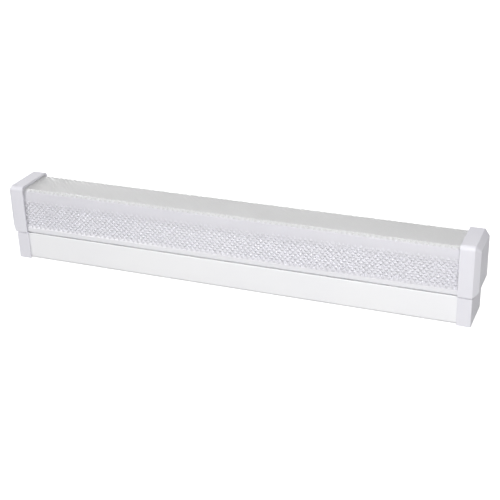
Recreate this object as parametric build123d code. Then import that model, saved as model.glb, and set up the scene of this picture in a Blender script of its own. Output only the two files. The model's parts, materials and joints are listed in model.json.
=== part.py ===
from build123d import *
import os

# A 600 mm class LED batten light, standing on its mounting face as photographed.
# X runs along the light, Y from its front (-Y) to its back, Z away from the mounting face.
# The origin is the centre of the mounting face. Sizes are in millimetres.

# Overall sizes
overall_length = 610.0      # over the end caps of the diffuser
cover_width = 61.0          # end caps of the diffuser, front to back
overall_height = 101.0      # mounting face to the top of those caps
seam_height = 37.5          # underside of the cover

# End caps of the diffuser
cap_length = 23.0
cap_bevel = 6.0             # chamfer round the end face
cap_side_wall = 2.4
cap_top_wall = 3.2
cap_end_wall = 2.4
cap_top_radius = 5.5
cap_foot_radius = 1.0
cap_ledge = 2.0             # thickness of the ledge that sits on the base
seat_clearance = 0.1        # between that ledge and the base end cap

# Diffuser
diffuser_wall = 2.2
diffuser_corner = 4.0
diffuser_fit = 0.2          # clearance inside the end caps
diffuser_foot_lift = 1.6    # its lower edge stands this far above the seam
cap_overlap = 10.0          # length of diffuser inside each cap
bead_reach = 1.2            # inward bead that the spring clips hold
bead_height = 1.6
bead_rise = 1.0

# Base channel
sheet = 0.8
channel_overhang = 1.9      # the diffuser stands out this far past the channel
channel_bend = 4.0          # outside radius of the lower bends
lip_bend = 1.2              # outside radius of the upper bends
lip_width = 6.0
seam_gap = 1.5              # the channel's lips lie this far below the seam
channel_end_gap = 0.3

# End caps of the base
end_step = 6.0              # they stand this far inside the diffuser's caps
base_cap_wall = 1.8
base_cap_fit = 0.2
base_cap_rebate = 2.0       # height of the shadow gap round their tops
base_cap_step = 0.9         # depth of that gap into the wall
base_cap_corner = 1.2
snap_length = 6.0           # snap lugs in windows of the channel
snap_height = 5.0
snap_depth = 0.6
snap_fit = 0.2

# Mounting slots and cable entry
slot_inset = 49.0           # middle of a slot to the end of the base
slot_length = 12.0
slot_width = 5.5
entry_radius = 6.0          # bore of the cable grommet
grommet_neck = 8.0
grommet_flange = 11.0
grommet_lip = 1.8           # thickness of each flange
grommet_fit = 0.05
dish_margin = 1.5           # raised dish round the cable entry, past the grommet's flange
dish_rise = 2.4
dish_slope = 2.5

# Gear tray
tray_gap = 2.0              # from the tray's side to the diffuser's bead
tray_height = 8.0
tray_bend = 1.6
tray_end_gap = 1.0
tongue_inset = 101.0        # locating tongues between the channel's lips, from the tray's end
tongue_length = 10.0
tongue_reach = 3.0          # below the lips' upper face
tongue_fit = 0.2

# Quarter-turn latches of the tray
latch_inset = 11.0          # latch axis to the end of the tray
knob_radius = 7.0
knob_disc = 2.0
grip_height = 4.0
grip_width = 3.0
shaft_radius = 3.0
running_clearance = 0.05
bar_width = 8.0
bar_thickness = 1.5
bar_clearance = 0.3         # under the channel's lips
shaft_square = 4.2
square_fit = 0.05
nut_radius = 5.0
nut_thickness = 0.6
shaft_end = 0.4             # the shaft shows this far below the nut

# LED boards
board_width = 14.0
board_thickness = 1.2
board_gap = 4.0             # between the two boards
board_clearance = 3.0       # from a board to the latch knob
chip_length = 3.5
chip_width = 2.8
chip_height = 0.7
chips_per_board = 24
chip_margin = 7.0
connector_width = 5.0
connector_height = 4.4
link_length = 14.0
input_length = 8.0
input_inset = 15.0          # input connector to the end of its board
connector_inset = 0.2       # from the board's edge
rivet_shank = 1.5
rivet_head = 2.4
rivet_head_height = 1.0
rivet_tail = 2.1
rivet_tail_height = 1.6
rivet_margin = 7.0
rivet_offset = 4.4          # from the board's middle line
hole_clearance = 0.1

# Raised bracket with the terminal block
bracket_sheet = 1.0
bracket_height = 8.0
bracket_side_gap = 5.2      # to the channel's side walls
bracket_foot = 7.0
bracket_margin = 1.0
terminal_gap = 6.2          # from the cable entry's dish to the bracket
pole_pitch = 6.2
block_length = 28.0
block_end = 1.0
block_base = 2.0
block_height = 13.0
block_edge = 0.6
ear_length = 7.0
ear_width = 6.0
pocket_end = 5.8
pocket_width = 5.2
pocket_height = 8.5
clamp_length = 16.0
clamp_width = 5.0
clamp_height = 7.0
clamp_wall = 1.0
entry_hole = 1.5
button_margin = 0.4         # from the end of a clamp's pocket to its button
button_length = 5.0
button_width = 3.2
button_height = 5.6
button_proud = 2.0
button_fit = 0.15

# Screws
screw_shank = 1.45
screw_head = 2.8
screw_head_height = 2.0
screw_reach = 3.0           # past the sheet or lug that it grips
thread_clearance = 0.05
earth_shank = 1.95
earth_head = 3.8
earth_head_height = 2.8
washer_radius = 4.4
washer_thickness = 0.8
tag_radius = 4.0
tag_thickness = 0.8
barrel_radius = 1.9
barrel_length = 6.0
tag_gap = 0.4               # from the barrel to the washer

# Driver
driver_gap = 34.0           # from the terminal block to the driver's case
driver_length = 112.0
driver_side_gap = 1.0       # to the tray's locating tongues
driver_headroom = 2.6       # from the tallest component to the lid
driver_wall = 1.5
driver_corner = 2.0
driver_lug = 9.0
lug_thickness = 2.0
lug_screw_margin = 0.7      # from a screw head to the LED board
lid_rim = 2.0
lid_fit = 0.15
boss_height = 3.5
boss_radius = 2.5
circuit_thickness = 1.6
circuit_gap = 0.5
transformer_size = (22.0, 18.0, 12.0)
capacitor_radius = 5.0
capacitor_length = 12.0
choke_radius = 6.5
choke_bore = 2.6
choke_height = 8.0
plug_length = 8.0           # wire connectors inside the driver
plug_height = 11.0
plug_margin = 2.0
plug_reach = 2.0            # length of wire inside a connector
led_plug_side = 6.0         # LED wires' connector, from the middle line

# Wires
mains_wire = 1.2            # radius over the insulation
led_wire = 0.8
wire_clearance = 0.2
mains_bend = 7.0
earth_bend = 3.5
led_bend = 3.0
wire_reach = 4.0            # length of wire inside a clamp or tag
led_run = 6.0               # LED wires run straight out of the driver for this length
bush_offset = 19.0          # tray's wire hole, from the driver's case
bush_margin = 0.7           # from the bush to the LED board
bush_bore = 2.9
bush_neck = 3.75
bush_flange = 4.8
bush_lip = 1.0
wire_pitch = 2.4            # between the two LED wires
wire_rise = 2.2             # LED wires run this far above the board

# Spring clips of the diffuser
clip_inset = 131.0          # middle of a clip to the end of the tray
clip_length = 12.0
clip_sheet = 0.5
clip_foot_lift = 0.6
clip_gap = 0.5              # from the leaf to the diffuser's wall
clip_catch = 1.5            # the leaf bulges most at this height above the bead
clip_tip = 2.0
clip_rivet_shank = 1.0
clip_rivet_head = 1.5
clip_rivet_height = 0.6

# Places worked out from the sizes above
half_length = overall_length / 2
cover_half = cover_width / 2
seam_x = half_length - cap_length                   # inner edges of all the end caps
cap_inner_half = cover_half - cap_side_wall
diffuser_half = cap_inner_half - diffuser_fit
diffuser_inner = diffuser_half - diffuser_wall
diffuser_top = overall_height - cap_top_wall - diffuser_fit
diffuser_foot = seam_height + diffuser_foot_lift
diffuser_end = seam_x + cap_overlap
bead_low = diffuser_foot + bead_rise
bead_top = bead_low + bead_height
base_end = half_length - end_step
base_cap_top = seam_height - seat_clearance
channel_half = diffuser_half - channel_overhang
channel_end = base_end - base_cap_wall - channel_end_gap
lip_top = seam_height - seam_gap
lip_under = lip_top - sheet
lip_inner = channel_half - lip_width
snap_x = (seam_x + channel_end) / 2
snap_z = lip_top / 2
slot_x = base_end - slot_inset
dish_radius = grommet_flange + dish_margin + dish_slope
dish_top = dish_rise + sheet
tray_half = diffuser_inner - bead_reach - tray_gap
tray_end = seam_x - tray_end_gap
tray_top = lip_top + tray_height
tray_under = tray_top - sheet
latch_x = tray_end - latch_inset
tongue_x = tray_end - tongue_inset
tongue_inner = lip_inner - tongue_fit - sheet
bar_top = lip_under - bar_clearance
bar_under = bar_top - bar_thickness
bar_length = lip_inner + channel_half - sheet          # half way across each lip
board_inner = board_gap / 2
board_outer = latch_x - knob_radius - board_clearance
board_top = tray_top + board_thickness
connector_high = board_width / 2 - connector_inset
connector_low = connector_high - connector_width
input_x = board_outer - input_inset - input_length
bush_x = input_x - board_clearance - bush_flange
bush_y = board_width / 2 + bush_margin + bush_flange
driver_end = bush_x - bush_offset
driver_x = driver_end - driver_length
driver_half = tongue_inner - driver_side_gap
component_height = max(transformer_size[2], capacitor_length, choke_height, plug_height)
circuit_top = tray_under - driver_wall - boss_height
circuit_under = circuit_top - circuit_thickness
lid_top = circuit_under - component_height - driver_headroom
driver_under = lid_top - driver_wall
wire_z = circuit_under - plug_height / 2
lug_screw_y = board_width / 2 + lug_screw_margin + screw_head
lug_screws = (
    (driver_x - driver_lug / 2, lug_screw_y),
    (driver_end + driver_lug / 2, -lug_screw_y),
)
rivet_x = (
    board_inner + link_length / 2 + rivet_margin,
    driver_x - driver_lug - rivet_margin,
    board_outer - rivet_margin,
)
block_end_x = driver_x - driver_gap
block_x = block_end_x - block_length
block_half = (3 * pole_pitch) / 2 + block_end
pole_y = {"live": pole_pitch, "neutral": 0.0, "earth": -pole_pitch}
bracket_x = block_x - ear_length - bracket_margin - bracket_foot
bracket_top = sheet + bracket_height
bracket_width = 2 * (channel_half - sheet - bracket_side_gap)
block_low = bracket_top + block_base
block_top = block_low + block_height
button_x = block_x + pocket_end + button_margin + button_length / 2
mains_z = block_low + clamp_height / 2
entry_x = bracket_x - terminal_gap - dish_radius
tag_z = bracket_top + barrel_radius
barrel_x = block_end_x + 4 * earth_bend
earth_x = barrel_x + barrel_length + tag_gap + washer_radius
bracket_end = earth_x + washer_radius + bracket_margin + bracket_foot
clip_x = tray_end - clip_inset
clip_bulge = diffuser_inner - clip_gap - clip_sheet - tray_half
clip_peak = bead_top + clip_catch
clip_foot_top = clip_peak - clip_bulge
clip_low = lip_top + clip_foot_lift
clip_rivet_z = (clip_low + clip_foot_top) / 2


# Helpers for plain forms
def slab(x, y, z):
    """A box between pairs of coordinates."""
    sizes = [abs(high - low) for low, high in (x, y, z)]
    centre = [(low + high) / 2 for low, high in (x, y, z)]
    return Pos(*centre) * Box(*sizes)


def about(middle, size):
    """A pair of coordinates, size apart, on both sides of the middle."""
    return middle - size / 2, middle + size / 2


def rod(start, end, radius):
    """A round bar between two points."""
    run = Vector(*end) - Vector(*start)
    return extrude(Plane(origin=start, z_dir=run) * Circle(radius), amount=run.length)


def upright(x, y, z, radius):
    """A round bar along Z between a pair of heights."""
    return rod((x, y, min(z)), (x, y, max(z)), radius)


def across(x):
    """The plane square to the light's length at x, with Y and Z as its axes."""
    return Plane(origin=(x, 0, 0), x_dir=(0, 1, 0), z_dir=(1, 0, 0))


def along(profile, x):
    """Extrudes a YZ profile between a pair of x coordinates."""
    return extrude(across(x[0]) * profile, amount=x[1] - x[0])


def rounded_section(half_width, z, top_radius, foot_radius):
    """A rectangle in YZ with its upper and lower corners rounded."""
    shape = Pos(0, (z[0] + z[1]) / 2) * Rectangle(2 * half_width, z[1] - z[0])
    if foot_radius:
        shape = fillet(shape.vertices().sort_by(Axis.Y)[:2], foot_radius)
    if top_radius:
        shape = fillet(shape.vertices().sort_by(Axis.Y)[-2:], top_radius)
    return shape


def wire(points, radius, bends):
    """A round wire along straight runs joined by tangent arcs."""
    path = FilletPolyline(*points, radius=bends)
    return sweep(Plane(origin=path @ 0, z_dir=path % 0) * Circle(radius), path=path)


def left_of(piece):
    """The same piece at the other end of the light."""
    return mirror(piece, about=Plane.YZ)


def group(solids):
    """Separate solids kept together as one piece."""
    return Compound(children=[solid for piece in solids for solid in piece.solids()])


# Cover: the diffuser and its end caps
def make_diffuser():
    heights = (diffuser_foot, diffuser_top)
    outside = rounded_section(diffuser_half, heights, diffuser_corner, 0)
    inside_corner = max(diffuser_corner - diffuser_wall, sheet)
    hollow_heights = (diffuser_foot - diffuser_wall, diffuser_top - diffuser_wall)
    inside = rounded_section(diffuser_inner, hollow_heights, inside_corner, 0)
    shell = along(outside - inside, (-diffuser_end, diffuser_end))
    for side in (-1, 1):
        bead_y = (side * (diffuser_inner - bead_reach), side * diffuser_inner)
        shell += slab((-diffuser_end, diffuser_end), bead_y, (bead_low, bead_top))
    return shell


def bevelled_block(x, half_width, z, bevel, top_radius, foot_radius):
    """A rounded bar along X whose far end is bevelled all round."""
    full = rounded_section(half_width, z, top_radius, foot_radius)
    inner_z = (z[0] + bevel, z[1] - bevel)
    small = rounded_section(half_width - bevel, inner_z, top_radius / 2, foot_radius / 2)
    shoulder = x[1] - bevel
    bevelled_end = loft([across(shoulder) * full, across(x[1]) * small], ruled=True)
    return along(full, (x[0], shoulder)) + bevelled_end


def make_cover_cap():
    """The right-hand cap: a bevelled shell, open inwards, with a ledge at its foot."""
    outside = bevelled_block(
        (seam_x, half_length),
        cover_half,
        (seam_height, overall_height),
        cap_bevel,
        cap_top_radius,
        cap_foot_radius,
    )
    inner_bevel = cap_bevel - cap_end_wall * (2 - 2 ** 0.5)
    inner_top = overall_height - cap_top_wall
    inner_corner = diffuser_corner + diffuser_fit
    inside = bevelled_block(
        (seam_x - cap_length, half_length - cap_end_wall),
        cap_inner_half,
        (seam_height + cap_ledge, inner_top),
        inner_bevel,
        inner_corner,
        cap_foot_radius,
    )
    foot_x = (seam_x - cap_length, diffuser_end + diffuser_fit)
    foot_z = (seam_height - cap_ledge, (seam_height + inner_top) / 2)
    return outside - inside - slab(foot_x, (-cap_inner_half, cap_inner_half), foot_z)


# Base: the folded channel and its end caps
def channel_profile():
    outside = rounded_section(channel_half, (0, lip_top), lip_bend, channel_bend)
    inner_z = (sheet, lip_under)
    inside = rounded_section(channel_half - sheet, inner_z, lip_bend - sheet, channel_bend - sheet)
    mouth = Pos(0, lip_top) * Rectangle(2 * lip_inner, 4 * sheet)
    return outside - inside - mouth


def cable_dish():
    """The raised dish round the cable entry, so that the grommet stays clear of the mounting face."""
    hole = grommet_neck + grommet_fit
    shoulder = dish_radius - dish_slope
    outline = Polyline(
        (dish_radius, 0, 0),
        (shoulder, 0, dish_rise),
        (hole, 0, dish_rise),
        (hole, 0, dish_top),
        (shoulder + sheet / 2, 0, dish_top),
        (dish_radius, 0, sheet),
        close=True,
    )
    return Pos(entry_x, 0, 0) * revolve(make_face(outline), axis=Axis.Z)


def snap_window(side_x, side_y, extra):
    """A snap lug of a base end cap, or its window when made larger by extra."""
    face = channel_half + base_cap_fit
    y = (side_y * face, side_y * (face - snap_depth))
    if extra:
        y = (side_y * (channel_half + sheet), side_y * (channel_half - 2 * sheet))
    x = about(side_x * snap_x, snap_length + 2 * extra)
    return slab(x, y, about(snap_z, snap_height + 2 * extra))


def make_base_channel():
    channel = along(channel_profile(), (-channel_end, channel_end))
    channel -= upright(entry_x, 0, (-sheet, 2 * sheet), dish_radius)
    channel += cable_dish()
    for side in (-1, 1):
        slot = Pos(side * slot_x, 0, -sheet) * SlotOverall(slot_length, slot_width)
        channel -= extrude(slot, amount=3 * sheet)
        for side_y in (-1, 1):
            channel -= snap_window(side, side_y, snap_fit)
    return channel


def make_base_cap():
    """The right-hand cap that closes the end of the channel."""
    outer_half = channel_half + base_cap_fit + base_cap_wall
    tiers = []
    for step, top in ((0, base_cap_top - base_cap_rebate), (base_cap_step, base_cap_top)):
        tier = slab((seam_x, base_end - step), about(0, 2 * (outer_half - step)), (0, top))
        corners = tier.edges().filter_by(Axis.Z).sort_by(Axis.X)[-2:]
        tiers.append(fillet(corners, base_cap_corner))
    shell = tiers[0] + tiers[1]
    inner_half = channel_half + base_cap_fit
    hollow_x = (seam_x - base_cap_wall, base_end - base_cap_wall)
    shell -= slab(hollow_x, (-inner_half, inner_half), (-base_cap_wall, lip_top + seat_clearance))
    for side_y in (-1, 1):
        shell += snap_window(1, side_y, 0)
    return shell


def make_grommet():
    """A rubber grommet whose flanges grip the dish round its hole."""
    low = dish_rise - grommet_lip
    high = dish_top + grommet_lip
    body = upright(entry_x, 0, (low, high), grommet_flange)
    body -= upright(entry_x, 0, (dish_rise, dish_top), grommet_flange + sheet)
    body += upright(entry_x, 0, (low, high), grommet_neck)
    return body - upright(entry_x, 0, (low - sheet, high + sheet), entry_radius)


# Gear tray and its latches
def make_gear_tray():
    outside = rounded_section(tray_half, (lip_top, tray_top), tray_bend, 0)
    inside = rounded_section(tray_half - sheet, (lip_top - sheet, tray_under), tray_bend - sheet, 0)
    tray = along(outside - inside, (-tray_end, tray_end))
    tongue_z = (lip_top - tongue_reach, tray_under)
    plate = (tray_under - sheet, tray_top + sheet)
    for side in (-1, 1):
        for side_y in (-1, 1):
            tongue_y = (side_y * tongue_inner, side_y * (tongue_inner + sheet))
            tray += slab(about(side * tongue_x, tongue_length), tongue_y, tongue_z)
            tray -= clip_rivet_bar(side, side_y, clip_rivet_shank + hole_clearance, (-2 * sheet, 2 * sheet))
        tray -= upright(side * latch_x, 0, plate, shaft_radius + running_clearance)
        for x in rivet_x:
            tray -= upright(side * x, -rivet_offset, plate, rivet_shank + hole_clearance)
    for x, y in lug_screws:
        tray -= upright(x, y, plate, screw_shank + hole_clearance)
    return tray - upright(bush_x, bush_y, plate, bush_neck + grommet_fit)


def make_latch_knob():
    """Knob, shaft and square end in one moulding, at the right-hand end."""
    disc_top = tray_top + knob_disc
    disc = upright(latch_x, 0, (tray_top, disc_top), knob_radius)
    disc = chamfer(disc.edges().sort_by(Axis.Z)[-1], knob_disc / 4)
    grip = slab(
        about(latch_x, grip_width),
        about(0, 2 * (knob_radius - knob_disc)),
        (disc_top, disc_top + grip_height),
    )
    shaft = upright(latch_x, 0, (bar_top, tray_top), shaft_radius)
    square = slab(
        about(latch_x, shaft_square),
        about(0, shaft_square),
        (bar_under - nut_thickness - shaft_end, bar_top),
    )
    return disc + grip + shaft + square


def make_latch_bar():
    """The cross bar, which at rest lies under both lips of the channel."""
    bar = slab(about(latch_x, bar_width), about(0, bar_length), (bar_under, bar_top))
    hole = shaft_square + 2 * square_fit
    return bar - slab(about(latch_x, hole), about(0, hole), (bar_under - sheet, bar_top + sheet))


def make_latch_nut():
    nut = upright(latch_x, 0, (bar_under - nut_thickness, bar_under), nut_radius)
    hole = shaft_square / 2 ** 0.5 + square_fit
    return nut - upright(latch_x, 0, (bar_under - 2 * nut_thickness, bar_under + nut_thickness), hole)


# LED boards and what is on them
def make_led_board():
    """The right-hand board."""
    board = slab((board_inner, board_outer), about(0, board_width), (tray_top, board_top))
    through = (tray_top - sheet, board_top + sheet)
    for x in rivet_x:
        board -= upright(x, -rivet_offset, through, rivet_shank + hole_clearance)
    return board


def make_led_chips():
    """The right-hand board's row of LED packages."""
    first = board_inner + chip_margin
    pitch = (board_outer - chip_margin - first) / (chips_per_board - 1)
    heights = (board_top, board_top + chip_height)
    places = [first + pitch * number for number in range(chips_per_board)]
    return group([slab(about(x, chip_length), about(0, chip_width), heights) for x in places])


def led_wire_places():
    """For each LED wire: y at the driver, x and y through the tray, and x at the input connector."""
    half = wire_pitch / 2
    middle = input_x + input_length / 2
    positive = (led_plug_side - half, bush_x + half, bush_y - half, middle - wire_pitch)
    negative = (led_plug_side + half, bush_x - half, bush_y + half, middle + wire_pitch)
    return positive, negative


def make_input_connector():
    heights = (board_top, board_top + connector_height)
    body = slab((input_x, input_x + input_length), (connector_low, connector_high), heights)
    z = board_top + wire_rise
    for _, _, _, x in led_wire_places():
        hole = led_wire + wire_clearance
        body -= rod((x, connector_high - plug_reach, z), (x, connector_high + plug_reach, z), hole)
    return body


def make_board_link():
    """The plug that joins the two boards."""
    heights = (board_top, board_top + connector_height)
    return slab(about(0, link_length), (connector_low, connector_high), heights)


def make_board_rivets():
    rivets = []
    for side in (-1, 1):
        for x in rivet_x:
            place = (side * x, -rivet_offset)
            head = upright(*place, (board_top, board_top + rivet_head_height), rivet_head)
            shank = upright(*place, (tray_under - rivet_tail_height, board_top), rivet_shank)
            tail = upright(*place, (tray_under - rivet_tail_height, tray_under), rivet_tail)
            rivets.append(head + shank + tail)
    return group(rivets)


# Bracket, terminal block and earth connection
def make_terminal_bracket():
    """A hat-shaped bracket that stands on the channel's floor."""
    width = about(0, bracket_width)
    rise = (bracket_x + bracket_foot - bracket_sheet, bracket_end - bracket_foot + bracket_sheet)
    bracket = slab(rise, width, (sheet, bracket_top))
    under = (rise[0] + bracket_sheet, rise[1] - bracket_sheet)
    bracket -= slab(under, width, (sheet, bracket_top - bracket_sheet))
    for x in ((bracket_x, rise[0]), (rise[1], bracket_end)):
        bracket += slab(x, width, (sheet, sheet + bracket_sheet))
    plate = (bracket_top - 2 * bracket_sheet, bracket_top + bracket_sheet)
    for x, y in ear_places():
        bracket -= upright(x, y, plate, screw_shank + thread_clearance)
    return bracket - upright(earth_x, pole_y["earth"], plate, earth_shank + thread_clearance)


def ear_places():
    """The two screws of the terminal block, one at each end, between the poles' wires."""
    y = pole_pitch / 2
    return (block_x - ear_length / 2, -y), (block_end_x + ear_length / 2, y)


def make_terminal_base():
    heights = (bracket_top, block_low)
    base = slab((block_x, block_end_x), about(0, 2 * block_half), heights)
    through = (bracket_top - block_base, block_low + block_base)
    for x, y in ear_places():
        base += slab(about(x, ear_length), about(y, ear_width), heights)
        base -= upright(x, y, through, screw_shank + hole_clearance)
    return base


def make_terminal_housing():
    housing = slab((block_x, block_end_x), about(0, 2 * block_half), (block_low, block_top))
    housing = chamfer(housing.faces().sort_by(Axis.Z)[-1].edges(), block_edge)
    for y in pole_y.values():
        pocket_x = (block_x + pocket_end, block_end_x - pocket_end)
        housing -= slab(pocket_x, about(y, pocket_width), (block_low, block_low + pocket_height))
        housing -= rod((block_x - block_end, y, mains_z), (block_end_x + block_end, y, mains_z), entry_hole)
        guide_x = about(button_x, button_length + 2 * button_fit)
        guide_z = (block_low + pocket_height, block_top + block_edge)
        housing -= slab(guide_x, about(y, button_width + 2 * button_fit), guide_z)
    return housing


def make_terminal_clamps():
    clamps = []
    middle = (block_x + block_end_x) / 2
    heights = (block_low, block_low + clamp_height)
    hollow_z = (heights[0] + clamp_wall, heights[1] - clamp_wall)
    for y in pole_y.values():
        cage = slab(about(middle, clamp_length), about(y, clamp_width), heights)
        cage -= slab(about(middle, 2 * clamp_length), about(y, clamp_width - 2 * clamp_wall), hollow_z)
        clamps.append(cage)
    return group(clamps)


def make_release_button(pole):
    heights = (block_top + button_proud - button_height, block_top + button_proud)
    return slab(about(button_x, button_length), about(pole_y[pole], button_width), heights)


def make_terminal_screws():
    screws = []
    for x, y in ear_places():
        head = upright(x, y, (block_low, block_low + screw_head_height), screw_head)
        low = bracket_top - bracket_sheet - screw_reach
        screws.append(head + upright(x, y, (low, block_low), screw_shank))
    return group(screws)


def make_earth_tag():
    """A ring tag with a crimp barrel for the earth wire."""
    y = pole_y["earth"]
    flat = (bracket_top, bracket_top + tag_thickness)
    tag = upright(earth_x, y, flat, tag_radius)
    tag += slab((barrel_x + barrel_length / 2, earth_x), about(y, 2 * barrel_radius), flat)
    barrel_end = (barrel_x + barrel_length, y, tag_z)
    tag += rod((barrel_x, y, tag_z), barrel_end, barrel_radius)
    tag -= rod((barrel_x - tag_thickness, y, tag_z), barrel_end, mains_wire + thread_clearance)
    through = (bracket_top - tag_thickness, tag_z + barrel_radius)
    return tag - upright(earth_x, y, through, earth_shank + hole_clearance)


def make_earth_washer():
    y = pole_y["earth"]
    low = bracket_top + tag_thickness
    washer = upright(earth_x, y, (low, low + washer_thickness), washer_radius)
    through = (low - tag_thickness, low + 2 * washer_thickness)
    return washer - upright(earth_x, y, through, earth_shank + hole_clearance)


def make_earth_screw():
    y = pole_y["earth"]
    seat = bracket_top + tag_thickness + washer_thickness
    head = upright(earth_x, y, (seat, seat + earth_head_height), earth_head)
    return head + upright(earth_x, y, (bracket_top - bracket_sheet - screw_reach, seat), earth_shank)


# Driver under the tray
def driver_outline(inset):
    shape = Rectangle(driver_length - 2 * inset, 2 * (driver_half - inset))
    corner = max(driver_corner - inset, driver_corner / 4)
    return Pos((driver_x + driver_end) / 2, 0) * fillet(shape.vertices(), corner)


def between(outline, z):
    """Extrudes an XY outline between a pair of heights."""
    return extrude(Pos(0, 0, z[0]) * outline, amount=z[1] - z[0])


def make_driver_case():
    """Open at the bottom, with a lug at each end that is screwed to the tray."""
    case = between(driver_outline(0), (lid_top, tray_under))
    case -= between(driver_outline(driver_wall), (lid_top - driver_wall, tray_under - driver_wall))
    lug_z = (tray_under - lug_thickness, tray_under)
    near_lug = (driver_x - driver_lug, driver_x + driver_wall)
    far_lug = (driver_end - driver_wall, driver_end + driver_lug)
    for x in (near_lug, far_lug):
        case += slab(x, about(0, 2 * driver_half), lug_z)
    for x, y in lug_screws:
        case -= upright(x, y, (tray_under - 2 * lug_thickness, tray_top), screw_shank + thread_clearance)
    for x, y in circuit_corners():
        case += upright(x, y, (circuit_top, tray_under - driver_wall), boss_radius)
    for y in (pole_y["live"], pole_y["neutral"]):
        through = ((driver_x - driver_wall, y, wire_z), (driver_x + 2 * driver_wall, y, wire_z))
        case -= rod(*through, mains_wire + wire_clearance)
    for y, _, _, _ in led_wire_places():
        through = ((driver_end - 2 * driver_wall, y, wire_z), (driver_end + driver_wall, y, wire_z))
        case -= rod(*through, led_wire + wire_clearance)
    return case


def make_driver_lid():
    lid = between(driver_outline(0), (driver_under, lid_top))
    rim_outside = driver_outline(driver_wall + lid_fit)
    rim_inside = driver_outline(2 * driver_wall + lid_fit)
    return lid + between(rim_outside - rim_inside, (lid_top, lid_top + lid_rim))


def circuit_span():
    inset = driver_wall + circuit_gap
    return (driver_x + inset, driver_end - inset), about(0, 2 * (driver_half - inset))


def circuit_corners():
    """The four bosses that carry the circuit board."""
    x, y = circuit_span()
    inset = boss_radius + circuit_gap
    return [(end, side) for end in (x[0] + inset, x[1] - inset) for side in (y[0] + inset, y[1] - inset)]


def make_driver_board():
    return slab(*circuit_span(), (circuit_under, circuit_top))


def make_driver_transformer():
    length, width, height = transformer_size
    x = about((driver_x + driver_end) / 2, length)
    return slab(x, about(0, width), (circuit_under - height, circuit_under))


def make_driver_capacitors():
    """Two electrolytic capacitors, one behind the other."""
    nearest = (driver_x + driver_end + transformer_size[0]) / 2 + capacitor_radius + circuit_gap
    places = (nearest, nearest + 2 * capacitor_radius + circuit_gap)
    heights = (circuit_under - capacitor_length, circuit_under)
    return group([upright(x, 0, heights, capacitor_radius) for x in places])


def make_driver_choke():
    x = (driver_x + driver_end - transformer_size[0]) / 2 - choke_radius - circuit_gap
    heights = (circuit_under - choke_height, circuit_under)
    return upright(x, 0, heights, choke_radius) - upright(x, 0, heights, choke_bore)


def make_driver_plugs():
    """The wire connectors at both ends of the circuit board."""
    x, _ = circuit_span()
    heights = (circuit_under - plug_height, circuit_under)
    mains_y = (pole_y["neutral"] - mains_wire - plug_margin, pole_y["live"] + mains_wire + plug_margin)
    led_y = about(led_plug_side, wire_pitch + 2 * led_wire + plug_margin)
    mains_plug = slab((x[0], x[0] + plug_length), mains_y, heights)
    led_plug = slab((x[1] - plug_length, x[1]), led_y, heights)
    for y in (pole_y["live"], pole_y["neutral"]):
        hole = mains_wire + wire_clearance
        mains_plug -= rod((x[0] - plug_reach, y, wire_z), (x[0] + plug_reach, y, wire_z), hole)
    for y, _, _, _ in led_wire_places():
        hole = led_wire + wire_clearance
        led_plug -= rod((x[1] - plug_reach, y, wire_z), (x[1] + plug_reach, y, wire_z), hole)
    return group([mains_plug, led_plug])


def make_driver_screws():
    screws = []
    for x, y in lug_screws:
        head = upright(x, y, (tray_top, tray_top + screw_head_height), screw_head)
        low = tray_under - lug_thickness - screw_reach
        screws.append(head + upright(x, y, (low, tray_top), screw_shank))
    return group(screws)


# Wires
def make_mains_wire(pole):
    """From a clamp of the terminal block up to the driver."""
    y = pole_y[pole]
    x, _ = circuit_span()
    points = [
        (block_end_x - pocket_end - wire_reach, y, mains_z),
        (block_end_x + mains_bend, y, mains_z),
        (driver_x - mains_bend, y, wire_z),
        (x[0] + plug_reach, y, wire_z),
    ]
    return wire(points, mains_wire, mains_bend)


def make_earth_wire():
    """From the terminal block down to the ring tag."""
    y = pole_y["earth"]
    points = [
        (block_end_x - pocket_end - wire_reach, y, mains_z),
        (block_end_x + earth_bend, y, mains_z),
        (barrel_x - earth_bend, y, tag_z),
        (barrel_x + wire_reach, y, tag_z),
    ]
    return wire(points, mains_wire, earth_bend)


def make_led_wire(place):
    """From the driver through the tray's bush to the input connector."""
    leave_y, pass_x, pass_y, enter_x = place
    x, _ = circuit_span()
    high = board_top + wire_rise
    points = [
        (x[1] - plug_reach, leave_y, wire_z),
        (driver_end + led_run, leave_y, wire_z),
        (pass_x, pass_y, wire_z),
        (pass_x, pass_y, high),
        (enter_x, pass_y, high),
        (enter_x, connector_high - plug_reach, high),
    ]
    return wire(points, led_wire, led_bend)


def make_wire_bush():
    low = tray_under - bush_lip
    high = tray_top + bush_lip
    body = upright(bush_x, bush_y, (low, high), bush_flange)
    body -= upright(bush_x, bush_y, (tray_under, tray_top), bush_flange + bush_lip)
    body += upright(bush_x, bush_y, (low, high), bush_neck)
    return body - upright(bush_x, bush_y, (low - bush_lip, high + bush_lip), bush_bore)


# Spring clips that hold the diffuser's beads
def clip_rivet_bar(side, side_y, radius, reach):
    """A round bar across the tray's side at a clip, between two distances from its outer face."""
    x = side * clip_x
    start = (x, side_y * (tray_half + reach[0]), clip_rivet_z)
    end = (x, side_y * (tray_half + reach[1]), clip_rivet_z)
    return rod(start, end, radius)


def make_diffuser_clips():
    inner = [
        (tray_half, clip_low),
        (tray_half, clip_foot_top),
        (tray_half + clip_bulge, clip_peak),
        (tray_half + clip_bulge / 2, clip_peak + clip_tip),
    ]
    outer = [(y + clip_sheet, z) for y, z in reversed(inner)]
    leaf = make_face(Polyline(*inner, *outer, close=True))
    clips = []
    for side in (-1, 1):
        clip = along(leaf, about(side * clip_x, clip_length))
        clip -= clip_rivet_bar(side, 1, clip_rivet_shank + hole_clearance, (-clip_sheet, 2 * clip_sheet))
        clips += [clip, mirror(clip, about=Plane.XZ)]
    return group(clips)


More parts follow.
